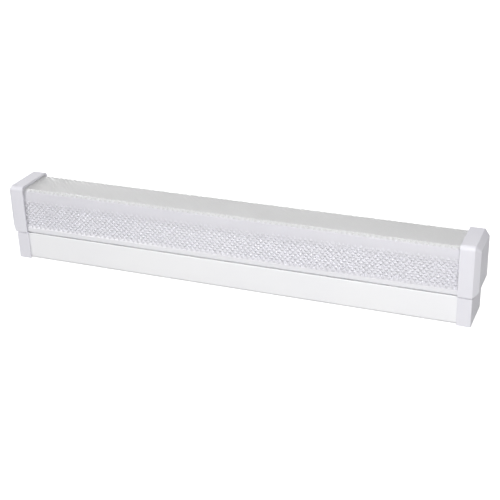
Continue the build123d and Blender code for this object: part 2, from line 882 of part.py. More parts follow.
def make_clip_rivets():
    rivets = []
    tail_end = -sheet - clip_rivet_height
    head_end = clip_sheet + clip_rivet_height
    for side in (-1, 1):
        for side_y in (-1, 1):
            shank = clip_rivet_bar(side, side_y, clip_rivet_shank, (tail_end, head_end))
            head = clip_rivet_bar(side, side_y, clip_rivet_head, (clip_sheet, head_end))
            tail = clip_rivet_bar(side, side_y, clip_rivet_head, (tail_end, -sheet))
            rivets.append(head + shank + tail)
    return group(rivets)


# All the pieces, by name
positive_place, negative_place = led_wire_places()
pieces = {
    "diffuser": make_diffuser(),
    "base_channel": make_base_channel(),
    "cable_grommet": make_grommet(),
    "gear_tray": make_gear_tray(),
    "input_connector": make_input_connector(),
    "board_link": make_board_link(),
    "board_rivets": make_board_rivets(),
    "terminal_bracket": make_terminal_bracket(),
    "terminal_base": make_terminal_base(),
    "terminal_housing": make_terminal_housing(),
    "terminal_clamps": make_terminal_clamps(),
    "terminal_screws": make_terminal_screws(),
    "earth_tag": make_earth_tag(),
    "earth_washer": make_earth_washer(),
    "earth_screw": make_earth_screw(),
    "driver_case": make_driver_case(),
    "driver_lid": make_driver_lid(),
    "driver_board": make_driver_board(),
    "driver_transformer": make_driver_transformer(),
    "driver_capacitors": make_driver_capacitors(),
    "driver_choke": make_driver_choke(),
    "driver_plugs": make_driver_plugs(),
    "driver_screws": make_driver_screws(),
    "live_wire": make_mains_wire("live"),
    "neutral_wire": make_mains_wire("neutral"),
    "earth_wire": make_earth_wire(),
    "led_positive_wire": make_led_wire(positive_place),
    "led_negative_wire": make_led_wire(negative_place),
    "tray_wire_bush": make_wire_bush(),
    "diffuser_clips": make_diffuser_clips(),
    "clip_rivets": make_clip_rivets(),
}
for pole in pole_y:
    pieces["release_button_" + pole] = make_release_button(pole)
right_hand = {
    "diffuser_end_cap": make_cover_cap(),
    "base_end_cap": make_base_cap(),
    "latch_knob": make_latch_knob(),
    "latch_bar": make_latch_bar(),
    "latch_nut": make_latch_nut(),
    "led_board": make_led_board(),
    "led_chips": make_led_chips(),
}
for name, piece in right_hand.items():
    pieces[name + "_right"] = piece
    pieces[name + "_left"] = left_of(piece)

os.makedirs("parts", exist_ok=True)
for name, piece in pieces.items():
    export_step(piece, "parts/" + name + ".step")
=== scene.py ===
import json
import math

import bmesh
import bpy
from mathutils import Matrix, Vector


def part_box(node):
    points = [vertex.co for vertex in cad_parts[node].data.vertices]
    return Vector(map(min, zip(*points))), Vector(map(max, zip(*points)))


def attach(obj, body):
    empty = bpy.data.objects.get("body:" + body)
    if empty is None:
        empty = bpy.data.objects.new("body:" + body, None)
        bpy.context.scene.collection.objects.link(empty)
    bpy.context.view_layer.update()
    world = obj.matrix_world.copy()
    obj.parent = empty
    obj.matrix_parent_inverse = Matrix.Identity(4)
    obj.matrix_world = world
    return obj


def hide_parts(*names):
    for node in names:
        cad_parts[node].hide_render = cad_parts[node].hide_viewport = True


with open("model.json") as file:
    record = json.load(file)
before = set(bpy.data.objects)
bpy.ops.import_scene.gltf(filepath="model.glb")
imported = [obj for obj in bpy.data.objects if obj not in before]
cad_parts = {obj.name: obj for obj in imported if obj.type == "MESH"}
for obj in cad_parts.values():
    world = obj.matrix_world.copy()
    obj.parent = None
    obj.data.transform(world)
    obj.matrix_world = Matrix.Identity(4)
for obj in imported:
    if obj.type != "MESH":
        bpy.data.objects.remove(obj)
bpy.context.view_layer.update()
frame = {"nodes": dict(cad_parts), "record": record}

# Looks of an LED batten light: a clear prismatic diffuser between white moulded end caps,
# over a white folded steel base. X runs along the light, its front is at -Y, and Z is up.

mm = 0.001
slot_of = {entry["node"]: entry["material_slot"] for entry in frame["record"]["subparts"]}
body_of = {node: body for body, nodes in frame["record"]["behaviour"]["bodies"].items() for node in nodes}

# Section of the diffuser
diffuser_low, diffuser_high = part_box("diffuser")
diffuser_wall = 2.2 * mm
diffuser_corner = 4.0 * mm
inner_bend_steps = 5
plain_band = 5.2 * mm        # height of the smooth band at the foot
bead_rise = 1.0 * mm         # height of the inward bead over the foot
bead_height = 1.6 * mm
bead_reach = 1.2 * mm
upper_zone = 20.0 * mm       # height under the bends where the sides lean in and the prisms grow shallower
upper_lean = 1.5 * mm        # how far the sides lean in at the bends
painted_top_tone_depth = 1.0 * mm     # how far under the top the top's painted neutral, darker tone is complete

# Lengths round the outside of that section, over the plain band
side_length = diffuser_high.z - diffuser_corner - diffuser_low.z - plain_band
bend_length = diffuser_corner * math.pi / 2
round_length = 2 * (side_length + bend_length + diffuser_high.y - diffuser_corner)

# Prisms of the diffuser, and the shares of their depth where they are shallower
prisms_along = 87
prisms_round = 24
prism_depth = 1.75 * mm
side_share = 0.15            # on the sides, just under the bends
bend_share = 0.75            # on the bends, which gives them a toothed edge
top_share = 0.32             # on the top
top_facing = 0.3             # a wall that faces sideways by less than this is part of the top
side_facing = 0.99           # and by more than this, part of a side

# Making of meshes, with angles in degrees
merge_distance = 0.001 * mm
flat_angle = 0.5             # faces of a moulded piece that turn by less are joined
crease_angle = 28            # its edges that turn by more are rounded
rounding_steps = 3
moulded_sharp = 40           # edges that turn by more than these are shaded sharp
item_sharp = 35
prism_sharp = 25

# LED packages, in shares of their size
led_corner = 0.06
led_rim = 0.1
led_cup_slope = 0.08
led_cup_depth = 0.45
led_fill_size = (0.7, 0.7, 0.3)
led_fill_height = 0.72       # of its middle
led_fill_corner = 0.07

# Rivets and screws, drawn in millimetres. A profile has pairs of radius and height, from the foot to the top
# of the head, whose seat is at height 0.
drawn_size = (mm, mm, mm)
push_rivet = [
    (0, -3.6), (1.2, -3.6), (2.1, -2.6), (2.1, -2.0), (1.5, -2.0), (1.5, 0), (2.4, 0), (2.4, 0.3),
    (2.0, 0.75), (1.3, 0.97), (1.05, 0.97), (0.95, 0.75), (0.85, 0.75), (0.75, 0.95), (0, 1.0),
]
clip_rivet = [
    (0, -1.9), (1.0, -1.9), (1.5, -1.6), (1.5, -1.3), (1.0, -1.3), (1.0, 0), (1.5, 0), (1.5, 0.2), (1.1, 0.5),
    (0, 0.6),
]
push_rivet_sides = 20
clip_rivet_sides = 16
screw_sides = 24
pan_head = [(1, 0), (1, 0.3), (0.93, 0.58), (0.75, 0.82), (0.45, 0.96), (0, 1)]    # in shares of the head
thread_pitch = 0.6
thread_core = 0.8            # share of the thread's radius
recess_reach = 0.55          # half of the cross recess's span, as a share of the head's radius
recess_width = 0.12          # half of an arm's width, likewise
recess_floor = 0.4           # its lowest and highest points, as shares of the head's rise
recess_open = 1.1
recess_taper = 0.6           # size of its floor, as a share of its opening

# Studio: lights have their place and size in metres and their power in watts
light_aim = (0, 0, 50 * mm)
lights = {
    "left": ((-1.8, -2.4, 1.6), (1.2, 1.0), 42.0),
    "right": ((0.6, -1.0, 0.8), (0.8, 0.8), 10.8),
    "overhead": ((-0.3, 0.4, 2.2), (3.2, 2.4), 7.0),
    "back": ((-1.2, 1.7, 0.3), (2.4, 0.5), 21.5),
}
world_strength = 0.26
floor_glow = 0.7
floor_reach = 40.0
floor_drop = 0.2 * mm        # keeps the floor clear of the mounting face

# Camera, from fitting the light's own edges to the photograph
camera_place = (483.1 * mm, -1130.3 * mm, 605.3 * mm)
camera_angles = (22.32, 24.67, -1.53)    # yaw, pitch down and roll, in degrees
camera_lens = 78.69          # in millimetres, as the sensor is
camera_sensor = 36.0


# Colours and materials
def linear(code):
    """Linear RGBA of an sRGB hex colour."""
    parts = [int(code[at:at + 2], 16) / 255 for at in (1, 3, 5)]
    return [part / 12.92 if part <= 0.04045 else ((part + 0.055) / 1.055) ** 2.4 for part in parts] + [1.0]


def add_node(tree, kind, inputs=None, **settings):
    """Adds a node with its settings. Each input takes a value, or a socket that is linked to it."""
    node = tree.nodes.new(kind)
    for name, value in settings.items():
        setattr(node, name, value)
    for name, value in (inputs or {}).items():
        if isinstance(value, bpy.types.NodeSocket):
            tree.links.new(value, node.inputs[name])
        else:
            node.inputs[name].default_value = value
    return node


def new_material(name, constants):
    """A material with one shader, whose constant values are set on its own sockets."""
    material = bpy.data.materials.new(name)
    material.use_nodes = True
    tree = material.node_tree
    tree.nodes.clear()
    shader = add_node(tree, "ShaderNodeBsdfPrincipled", constants)
    add_node(tree, "ShaderNodeOutputMaterial", {"Surface": shader.outputs["BSDF"]})
    return material, tree, shader


def mottle(tree, size, low=0.0, high=1.0, detail=2.0):
    """A soft noise whose patches are about size across, spread between two values."""
    place = add_node(tree, "ShaderNodeTexCoord").outputs["Object"]
    noise = add_node(tree, "ShaderNodeTexNoise", {"Vector": place, "Scale": 1 / size, "Detail": detail})
    # Most of the noise lies between 0.3 and 0.7
    spread = add_node(tree, "ShaderNodeMapRange", {
        "Value": noise.outputs["Fac"], "From Min": 0.3, "From Max": 0.7, "To Min": low, "To Max": high,
    })
    return spread.outputs["Result"]


def lines_along(tree, spacing, stretch):
    """Fine uneven lines along X, a spacing apart and stretch times as long as that."""
    place = add_node(tree, "ShaderNodeTexCoord").outputs["Object"]
    drawn = add_node(tree, "ShaderNodeMapping", {"Vector": place, "Scale": (1 / stretch, 1, 1)})
    noise = add_node(tree, "ShaderNodeTexNoise", {
        "Vector": drawn.outputs["Vector"], "Scale": 1 / spacing, "Detail": 3.0,
    })
    return noise.outputs["Fac"]


def wave_scale(spacing):
    """Scale of a wave texture whose bands are a spacing apart."""
    return 2 * math.pi / 20 / spacing


def dress(tree, shader, tones, blend, roughness, height=None, depth=0.0):
    """Gives a shader two tones and their blend, its roughness, and a relief that is depth tall."""
    first, second = [linear(tone) if isinstance(tone, str) else tone for tone in tones]
    tint = add_node(tree, "ShaderNodeMix", {"Factor": blend, "A": first, "B": second}, data_type="RGBA")
    tree.links.new(tint.outputs["Result"], shader.inputs["Base Color"])
    tree.links.new(roughness, shader.inputs["Roughness"])
    if height is not None:
        relief = add_node(tree, "ShaderNodeBump", {"Height": height, "Distance": depth})
        tree.links.new(relief.outputs["Normal"], shader.inputs["Normal"])


def moulded_plastic(name, first, second, gloss, grain, ior):
    """A moulded plastic: two near tones, a spread of roughness, and the fine grain of the mould."""
    material, tree, shader = new_material(name, {"IOR": ior})
    dress(
        tree, shader, tones=(first, second), blend=mottle(tree, 60 * mm),
        roughness=mottle(tree, 25 * mm, *gloss), height=mottle(tree, 0.5 * mm, detail=3.0), depth=grain,
    )
    return material


def white_powder_coat():
    # Polyester powder coat baked on steel: satin white with a shallow orange-peel ripple.
    material, tree, shader = new_material("white_powder_coat", {"IOR": 1.5})
    dress(
        tree, shader, tones=("#FAFAFB", "#F7F7F9"), blend=mottle(tree, 80 * mm),
        roughness=mottle(tree, 12 * mm, 0.54, 0.62), height=mottle(tree, 1.4 * mm), depth=0.012 * mm,
    )
    return material


def embossed_acrylic():
    # Acrylic sheet with prisms embossed while hot: satin facets over a milky-clear body that hides the gear.
    # Painted light and shade: the sides are given a faintly lavender, lighter tone and the top a neutral,
    # darker one, changing along the bends.
    material, tree, shader = new_material("embossed_acrylic", {"IOR": 1.49, "Transmission Weight": 0.3})
    place = add_node(tree, "ShaderNodeTexCoord").outputs["Object"]
    height = add_node(tree, "ShaderNodeSeparateXYZ", {"Vector": place}).outputs["Z"]
    # Share of the top's painted tone, from 0 under the bends to 1 near the top
    upper = add_node(tree, "ShaderNodeMapRange", {
        "Value": height, "From Min": diffuser_high.z - diffuser_corner,
        "From Max": diffuser_high.z - painted_top_tone_depth,
    }).outputs["Result"]
    patches = mottle(tree, 90 * mm)
    tones = []
    # Painted light and shade: lighter lavender tones for the sides, darker neutral ones for the top
    for first, second in (("#F9F8FD", "#F5F4FA"), ("#F6F6F6", "#F2F2F2")):
        inputs = {"Factor": patches, "A": linear(first), "B": linear(second)}
        tones.append(add_node(tree, "ShaderNodeMix", inputs, data_type="RGBA").outputs["Result"])
    dress(tree, shader, tones, blend=upper, roughness=mottle(tree, 30 * mm, 0.29, 0.35))
    return material


def extruded_acrylic_rail():
    # White acrylic rail along the foot of the sheet: smooth, with faint draw lines along it.
    material, tree, shader = new_material("extruded_acrylic_rail", {"IOR": 1.49, "Transmission Weight": 0.08})
    dress(
        tree, shader, tones=("#F7F7FA", "#F4F4F8"), blend=mottle(tree, 90 * mm),
        roughness=mottle(tree, 20 * mm, 0.14, 0.2), height=lines_along(tree, 0.8 * mm, 50), depth=0.02 * mm,
    )
    return material


def zinc_plated_steel():
    # Mild steel, zinc plated and passivated: bright grey with faint cool and warm clouds from the bath.
    material, tree, shader = new_material("zinc_plated_steel", {"Metallic": 1.0})
    dress(
        tree, shader, tones=("#C9CCD1", "#C6C3B6"), blend=mottle(tree, 6 * mm),
        roughness=mottle(tree, 2.5 * mm, 0.26, 0.4), height=mottle(tree, 0.4 * mm), depth=0.006 * mm,
    )
    return material


def rolled_spring_steel():
    # Hardened steel strip, cold rolled: darker grey, with fine rolling lines along the strip.
    material, tree, shader = new_material("rolled_spring_steel", {"Metallic": 1.0})
    rolling = lines_along(tree, 0.3 * mm, 40)
    dress(
        tree, shader, tones=("#A4A7AC", "#8B8E94"), blend=rolling, roughness=mottle(tree, 4 * mm, 0.3, 0.42),
        height=rolling, depth=0.01 * mm,
    )
    return material


def stamped_brass():
    # Brass strip, stamped and bent: warm yellow metal, a little duller where it was handled.
    material, tree, shader = new_material("stamped_brass", {"Metallic": 1.0})
    dress(
        tree, shader, tones=("#D2B26C", "#C2A05A"), blend=mottle(tree, 5 * mm),
        roughness=mottle(tree, 3 * mm, 0.24, 0.38), height=lines_along(tree, 0.25 * mm, 30), depth=0.008 * mm,
    )
    return material


def wound_copper():
    # Enamelled copper wire, wound close: amber metal with the ribs of its turns, drawn 0.8 mm apart to show,
    # painted darker in the grooves between turns as shade and lighter on their crests as highlight.
    material, tree, shader = new_material("wound_enamelled_copper", {"Metallic": 1.0})
    place = add_node(tree, "ShaderNodeTexCoord").outputs["Object"]
    turns = add_node(tree, "ShaderNodeTexWave", {
        "Vector": place, "Scale": wave_scale(0.8 * mm), "Distortion": 0.6,
    }, bands_direction="X").outputs["Fac"]
    # The tone follows the ribs: painted shade in the grooves, painted highlight on the crests
    dress(
        tree, shader, tones=("#7E3E1E", "#C9794A"), blend=turns, roughness=mottle(tree, 2 * mm, 0.22, 0.32),
        height=turns, depth=0.15 * mm,
    )
    return material


def circuit_board(name, mask, track, edge, pitch):
    """Printed solder mask over copper: tracks show through as a slightly other tone and stand up a little."""
    material, tree, shader = new_material(name, {"IOR": 1.55})
    place = add_node(tree, "ShaderNodeTexCoord").outputs["Object"]
    # The pattern is white and pale grey on the tracks, and black between them
    tracks = add_node(tree, "ShaderNodeTexBrick", {
        "Vector": place, "Scale": 1.0, "Brick Width": pitch, "Row Height": 0.33 * pitch, "Mortar Size": edge,
        "Mortar Smooth": 0.3, "Color1": (1, 1, 1, 1), "Color2": (0.85, 0.85, 0.85, 1), "Mortar": (0, 0, 0, 1),
    }, offset=0.0).outputs["Color"]
    dress(
        tree, shader, tones=(mask, track), blend=tracks, roughness=mottle(tree, 8 * mm, 0.28, 0.38),
        height=tracks, depth=0.035 * mm,
    )
    return material


def extruded_pvc(name, first, second, stripe=0.0):
    """Insulation extruded over a wire: smooth and waxy, with faint lines along it, or striped."""
    material, tree, shader = new_material(name, {"IOR": 1.53})
    if stripe:
        place = add_node(tree, "ShaderNodeTexCoord").outputs["Object"]
        bands = add_node(tree, "ShaderNodeTexWave", {
            "Vector": place, "Scale": wave_scale(stripe),
        }, bands_direction="DIAGONAL")
        # A narrow range of the wave gives the stripes clear edges
        blend = add_node(tree, "ShaderNodeMapRange", {
            "Value": bands.outputs["Fac"], "From Min": 0.55, "From Max": 0.65,
        }).outputs["Result"]
    else:
        blend = mottle(tree, 3 * mm)
    dress(
        tree, shader, tones=(first, second), blend=blend, roughness=mottle(tree, 5 * mm, 0.34, 0.46),
        height=lines_along(tree, 0.3 * mm, 20), depth=0.012 * mm,
    )
    return material


# Finishes, by the record's material slots
finishes = {
    "prismatic_acrylic": embossed_acrylic(),
    # ABS: satin, faintly cool white, with a fine eroded grain
    "white_moulding": moulded_plastic(
        "moulded_white_abs", "#EBEAF0", "#E7E6ED", (0.52, 0.6), 0.01 * mm, 1.53,
    ),
    "white_powder_coat": white_powder_coat(),
    "zinc_steel": zinc_plated_steel(),
    "spring_steel": rolled_spring_steel(),
    # White mask over the copper of an aluminium-core board: bright and smooth, with pale track outlines
    "white_circuit_board": circuit_board("printed_white_board", "#E6E4DA", "#F3F3EF", 0.35 * mm, 10.6 * mm),
    # Phosphor in silicone: warm yellow, slightly glossy
    "led_phosphor": moulded_plastic(
        "cast_phosphor_silicone", "#E8CC5A", "#E2C148", (0.22, 0.3), 0.004 * mm, 1.41,
    ),
    # Nylon without pigment: ivory and slightly waxy
    "natural_nylon": moulded_plastic(
        "moulded_natural_nylon", "#E6E1D2", "#DFD9C7", (0.4, 0.5), 0.012 * mm, 1.53,
    ),
    # Nylon with grey pigment: matt, with a visible grain
    "grey_nylon": moulded_plastic("moulded_grey_nylon", "#9EA1A4", "#94979B", (0.46, 0.56), 0.02 * mm, 1.53),
    # Nylon with orange pigment: strong colour, satin
    "orange_nylon": moulded_plastic(
        "moulded_orange_nylon", "#DD6A22", "#D25F1B", (0.38, 0.46), 0.012 * mm, 1.53,
    ),
    "brass": stamped_brass(),
    # Rubber: near black and matt, with a fine bloom
    "black_rubber": moulded_plastic(
        "moulded_black_rubber", "#1C1C1D", "#262627", (0.62, 0.78), 0.03 * mm, 1.52,
    ),
    # Polycarbonate: neutral white and satin
    "driver_case_white": moulded_plastic(
        "moulded_white_pc", "#E9E9E7", "#E3E3E1", (0.34, 0.44), 0.015 * mm, 1.58,
    ),
    # Green mask on glass laminate: dark green, with lighter tracks
    "green_circuit_board": circuit_board("printed_green_board", "#0D3D1E", "#14512A", 0.5 * mm, 7.0 * mm),
    # Ferrite: dark grey and dull, pressed from powder
    "ferrite": moulded_plastic("pressed_ferrite", "#2A2A2D", "#36363A", (0.5, 0.64), 0.05 * mm, 2.0),
    # Sleeve shrunk over a can: dark blue and glossy
    "capacitor_sleeve": moulded_plastic(
        "shrunk_pet_sleeve", "#14182A", "#1B2036", (0.18, 0.26), 0.006 * mm, 1.57,
    ),
    "copper_winding": wound_copper(),
    "brown_pvc": extruded_pvc("extruded_brown_pvc", "#5A3A26", "#4F3120"),
    "blue_pvc": extruded_pvc("extruded_blue_pvc", "#2A5BA8", "#234F98"),
    "green_yellow_pvc": extruded_pvc("extruded_green_yellow_pvc", "#3F8A3A", "#E0C92F", 4.0 * mm),
    "red_pvc": extruded_pvc("extruded_red_pvc", "#B5261F", "#A5201B"),
    "black_pvc": extruded_pvc("extruded_black_pvc", "#1E1E20", "#28282A"),
}


# Meshes and objects
def new_object(name, data):
    """A new object of the scene, at the origin."""
    thing = bpy.data.objects.new(name, data)
    bpy.context.scene.collection.objects.link(thing)
    return thing


def merged_copy(node):
    """A form with a CAD node's triangles, joined at their corners."""
    form = bmesh.new()
    form.from_mesh(frame["nodes"][node].data)
    bmesh.ops.remove_doubles(form, verts=form.verts, dist=merge_distance)
    return form


def mesh_of(form, name):
    """Turns a form into a mesh."""
    mesh = bpy.data.meshes.new(name)
    form.to_mesh(mesh)
    form.free()
    return mesh


def plain_mesh(thing, name):
    """The mesh that an object's modifiers make of it. The object itself is then removed."""
    bpy.context.view_layer.update()
    evaluated = thing.evaluated_get(bpy.context.evaluated_depsgraph_get())
    mesh = bpy.data.meshes.new_from_object(evaluated)
    mesh.name = name
    thing.modifiers.clear()
    bpy.data.objects.remove(thing)
    return mesh


def shade(mesh, sharp_angle):
    """Smooth shading, with the edges above an angle kept sharp."""
    mesh.polygons.foreach_set("use_smooth", [True] * len(mesh.polygons))
    mesh.set_sharp_from_angle(angle=math.radians(sharp_angle))


def finished(thing, body, slot, *nodes):
    """A finished piece rides on its body and stands for CAD nodes."""
    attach(thing, body)
    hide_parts(*nodes)


def softened(node, name, edge):
    """A smooth copy of a CAD node with its sharp edges rounded a little, as moulding leaves them."""
    form = merged_copy(node)
    if edge:
        flat = math.radians(flat_angle)
        bmesh.ops.dissolve_limit(form, angle_limit=flat, verts=form.verts, edges=form.edges)
        crease = math.radians(crease_angle)
        sharp = [side for side in form.edges if side.is_manifold and side.calc_face_angle() > crease]
        bmesh.ops.bevel(
            form, geom=sharp, offset=edge, offset_type="OFFSET", segments=rounding_steps, profile=0.5,
            affect="EDGES", clamp_overlap=True, miter_outer="ARC",
        )
        bmesh.ops.remove_doubles(form, verts=form.verts, dist=merge_distance)
    mesh = mesh_of(form, name)
    shade(mesh, moulded_sharp)
    mesh.materials.append(finishes[slot_of[node]])
    thing = new_object(name, mesh)
    even = thing.modifiers.new("even_shading", "WEIGHTED_NORMAL")
    even.keep_sharp = True
    finished(thing, body_of[node], slot_of[node], node)


def new_geometry_tree(name, **sockets):
    """An empty geometry tree with a geometry in and out, and named inputs."""
    tree = bpy.data.node_groups.new(name, "GeometryNodeTree")
    tree.interface.new_socket("Geometry", in_out="INPUT", socket_type="NodeSocketGeometry")
    tree.interface.new_socket("Geometry", in_out="OUTPUT", socket_type="NodeSocketGeometry")
    for title, kind in sockets.items():
        tree.interface.new_socket(title, in_out="INPUT", socket_type="NodeSocket" + kind)
    return tree, add_node(tree, "NodeGroupInput").outputs


def grown(name, host, tree, **values):
    """Runs a geometry tree on a host mesh and keeps the result as a plain mesh."""
    source = new_object(name + "_source", host)
    growth = source.modifiers.new("growth", "NODES")
    growth.node_group = tree
    for item in tree.interface.items_tree:
        if item.in_out == "INPUT" and item.name in values:
            growth[item.identifier] = values[item.name]
    return plain_mesh(source, name)


# Small parts that repeat
def loose_parts(node):
    """Lowest and highest corners of the separate solids in a CAD node, from left to right."""
    form = merged_copy(node)
    waiting = set(form.verts)
    boxes = []
    while waiting:
        reached = [waiting.pop()]
        for corner in reached:
            for side in corner.link_edges:
                other = side.other_vert(corner)
                if other in waiting:
                    waiting.remove(other)
                    reached.append(other)
        low = Vector([min(corner.co[axis] for corner in reached) for axis in range(3)])
        high = Vector([max(corner.co[axis] for corner in reached) for axis in range(3)])
        boxes.append((low, high))
    form.free()
    return sorted(boxes, key=lambda box: tuple(box[0]))


def seats(node, rise):
    """Points on the upright axes of the solids in a CAD node, a rise under their tops."""
    places = []
    for low, high in loose_parts(node):
        middle = (low + high) / 2
        places.append((middle.x, middle.y, high.z - rise))
    return places


def set_out_tree():
    """Puts a copy of an item at each point of a host mesh, at a size, turned as the point says."""
    tree, given = new_geometry_tree("set_out", Item="Object", Size="Vector", Finish="Material")
    angles = add_node(tree, "GeometryNodeInputNamedAttribute", {"Name": "turn"}, data_type="FLOAT_VECTOR")
    turn = add_node(tree, "FunctionNodeEulerToRotation", {"Euler": angles.outputs["Attribute"]})
    item = add_node(tree, "GeometryNodeObjectInfo", {"Object": given["Item"]})
    placed = add_node(tree, "GeometryNodeInstanceOnPoints", {
        "Points": given["Geometry"], "Instance": item.outputs["Geometry"],
        "Rotation": turn.outputs["Rotation"], "Scale": given["Size"],
    })
    real = add_node(tree, "GeometryNodeRealizeInstances", {"Geometry": placed.outputs["Instances"]})
    coated = add_node(tree, "GeometryNodeSetMaterial", {
        "Geometry": real.outputs["Geometry"], "Material": given["Finish"],
    })
    add_node(tree, "NodeGroupOutput", {"Geometry": coated.outputs["Geometry"]})
    return tree


def set_out(name, item, places, size, slot, *nodes, material=None, turns=None):
    """Sets out copies of an item on the base, as one piece."""
    host = bpy.data.meshes.new(name + "_places")
    host.from_pydata(places, [], [])
    unturned = [(0, 0, 0)] * len(places)
    turn = host.attributes.new("turn", "FLOAT_VECTOR", "POINT")
    turn.data.foreach_set("vector", [angle for angles in turns or unturned for angle in angles])
    sample = new_object(name + "_item", item)
    mesh = grown(name, host, set_out_tree(), Item=sample, Size=size, Finish=material or finishes[slot])
    bpy.data.objects.remove(sample)
    shade(mesh, item_sharp)
    finished(new_object(name, mesh), "base", slot, *nodes)


def turned(name, profile, sides):
    """An item turned about Z, from a profile whose two ends are on the axis."""
    form = bmesh.new()
    rings = []
    for radius, height in profile:
        ring = []
        for step in range(sides if radius else 1):
            angle = 2 * math.pi * step / sides
            ring.append(form.verts.new((radius * math.cos(angle), radius * math.sin(angle), height)))
        rings.append(ring)
    for low, high in zip(rings, rings[1:]):
        for step in range(sides):
            turns = ((low, step), (low, step + 1), (high, step + 1), (high, step))
            corners = [ring[at % len(ring)] for ring, at in turns]
            form.faces.new(list(dict.fromkeys(corners)))
    bmesh.ops.recalc_face_normals(form, faces=form.faces)
    return mesh_of(form, name)


def led_package():
    """A unit LED body with a rounded plan and a sloped cup in its top."""
    form = bmesh.new()
    bmesh.ops.create_cube(form, size=1.0, matrix=Matrix.Translation((0, 0, 0.5)))
    upright = [side for side in form.edges if abs(side.verts[0].co.z - side.verts[1].co.z) > 0.5]
    bmesh.ops.bevel(form, geom=upright, offset=led_corner, segments=2, profile=0.5, affect="EDGES")
    top = max(form.faces, key=lambda face: face.calc_center_median().z)
    bmesh.ops.inset_individual(form, faces=[top], thickness=led_rim)
    bmesh.ops.inset_individual(form, faces=[top], thickness=led_cup_slope, depth=-led_cup_depth)
    return mesh_of(form, "led_package")


def led_fill():
    """The unit phosphor fill of that cup, slightly domed."""
    form = bmesh.new()
    place = Matrix.Translation((0, 0, led_fill_height)) @ Matrix.Diagonal((*led_fill_size, 1))
    bmesh.ops.create_cube(form, size=1.0, matrix=place)
    bmesh.ops.bevel(
        form, geom=list(form.edges), offset=led_fill_corner, segments=2, profile=0.5, affect="EDGES",
    )
    return mesh_of(form, "led_fill")


def threaded(radius, core, length):
    """Profile of a screw's shank from its point up to its head, with rings for the thread."""
    profile = [(0, -length), (core, -length + thread_pitch)]
    for number in range(int(length / thread_pitch) - 2):
        low = -length + thread_pitch * (number + 1)
        profile += [(radius, low + thread_pitch / 2), (core, low + thread_pitch)]
    return profile + [(core, 0)]


def with_cross_recess(item, head_radius, head_rise):
    """Cuts a tapered cross into the top of a screw's head."""
    reach = recess_reach * head_radius
    width = recess_width * head_radius
    half_plan = [
        (width, width), (width, reach), (-width, reach), (-width, width), (-reach, width), (-reach, -width),
    ]
    plan = half_plan + [(-x, -y) for x, y in half_plan]
    form = bmesh.new()
    floor, opening = [
        [form.verts.new((share * x, share * y, height * head_rise)) for x, y in plan]
        for share, height in ((recess_taper, recess_floor), (1, recess_open))
    ]
    form.faces.new(floor)
    form.faces.new(opening)
    for at in range(len(plan)):
        # The point before the first one is the last, which closes the ring
        form.faces.new((floor[at - 1], floor[at], opening[at], opening[at - 1]))
    bmesh.ops.recalc_face_normals(form, faces=form.faces)
    cutter = new_object("recess_cutter", mesh_of(form, "recess_cutter"))
    blank = new_object("recess_blank", item)
    recess = blank.modifiers.new("recess", "BOOLEAN")
    recess.operation = "DIFFERENCE"
    recess.object = cutter
    mesh = plain_mesh(blank, "recessed_screw")
    bpy.data.objects.remove(cutter)
    return mesh


def make_led_packages(white_body):
    """LED bodies and their phosphor fills, one of each at every chip of the CAD nodes."""
    for side in ("left", "right"):
        node = "led_chips_" + side
        low, high = loose_parts(node)[0]
        size = tuple(high - low)
        places = seats(node, high.z - low.z)
        package = led_package()
        set_out("led_packages_" + side, package, places, size, "led_phosphor", node, material=white_body)
        set_out("led_phosphor_fills_" + side, led_fill(), places, size, "led_phosphor")


def make_rivets():
    """Push rivets of the LED boards, and steel rivets of the clips, whose heads face outwards."""
    places = seats("board_rivets", push_rivet[-1][1] * mm)
    item = turned("push_rivet", push_rivet, push_rivet_sides)
    set_out("nylon_push_rivets", item, places, drawn_size, "natural_nylon", "board_rivets")
    places = []
    turns = []
    for low, high in loose_parts("clip_rivets"):
        middle = (low + high) / 2
        outward = 1 if middle.y > 0 else -1
        top = high.y if outward > 0 else low.y
        places.append((middle.x, top - outward * clip_rivet[-1][1] * mm, middle.z))
        turns.append((-outward * math.pi / 2, 0, 0))
    item = turned("clip_rivet", clip_rivet, clip_rivet_sides)
    set_out("steel_clip_rivets", item, places, drawn_size, "spring_steel", "clip_rivets", turns=turns)


def make_screws():
    """Pan-head screws with a cross recess, on the heads' seats of their CAD nodes."""
    for node, name, head_radius, head_rise, thread_radius in (
        ("driver_screws", "driver_pan_screws", 2.8, 2.0, 1.45),
        ("terminal_screws", "terminal_pan_screws", 2.8, 2.0, 1.45),
        ("earth_screw", "earth_pan_screw", 3.8, 2.6, 1.95),
    ):
        low, high = loose_parts(node)[0]
        length = (high.z - low.z) / mm - head_rise
        profile = threaded(thread_radius, thread_core * thread_radius, length)
        profile += [(head_radius * out, head_rise * up) for out, up in pan_head]
        blank = turned(name + "_blank", profile, screw_sides)
        item = with_cross_recess(blank, head_radius, head_rise)
        set_out(name, item, seats(node, head_rise * mm), drawn_size, "zinc_steel", node)


# Prismatic diffuser
def outer_point(distance):
    """Point and inward direction on the outside, at a distance round it from the top of the front band."""
    if distance > round_length / 2:
        (y, z), (inward_y, inward_z) = outer_point(round_length - distance)
        return (-y, z), (-inward_y, inward_z)
    front = -diffuser_high.y
    if distance <= side_length:
        return (front, diffuser_low.z + plain_band + distance), (1, 0)
    distance -= side_length
    if distance <= bend_length:
        turn = distance / diffuser_corner
        inward = (math.cos(turn), -math.sin(turn))
        y = front + diffuser_corner * (1 - inward[0])
        z = diffuser_high.z - diffuser_corner * (1 + inward[1])
        return (y, z), inward
    return (front + diffuser_corner + distance - bend_length, diffuser_high.z), (0, -1)


def zone_share(place):
    """How far up the upper zone of a side a point lies, from 0 at its foot to 1 at the bend."""
    bend = diffuser_high.z - diffuser_corner
    return min(max((place[1] - bend + upper_zone) / upper_zone, 0.0), 1.0)


def leaned(place, inward):
    """A point of the outside, moved in where the sides lean towards the upper bends."""
    lean = upper_lean * zone_share(place) ** 2 * abs(inward[0])
    return place[0] + lean * inward[0], place[1] + lean * inward[1]


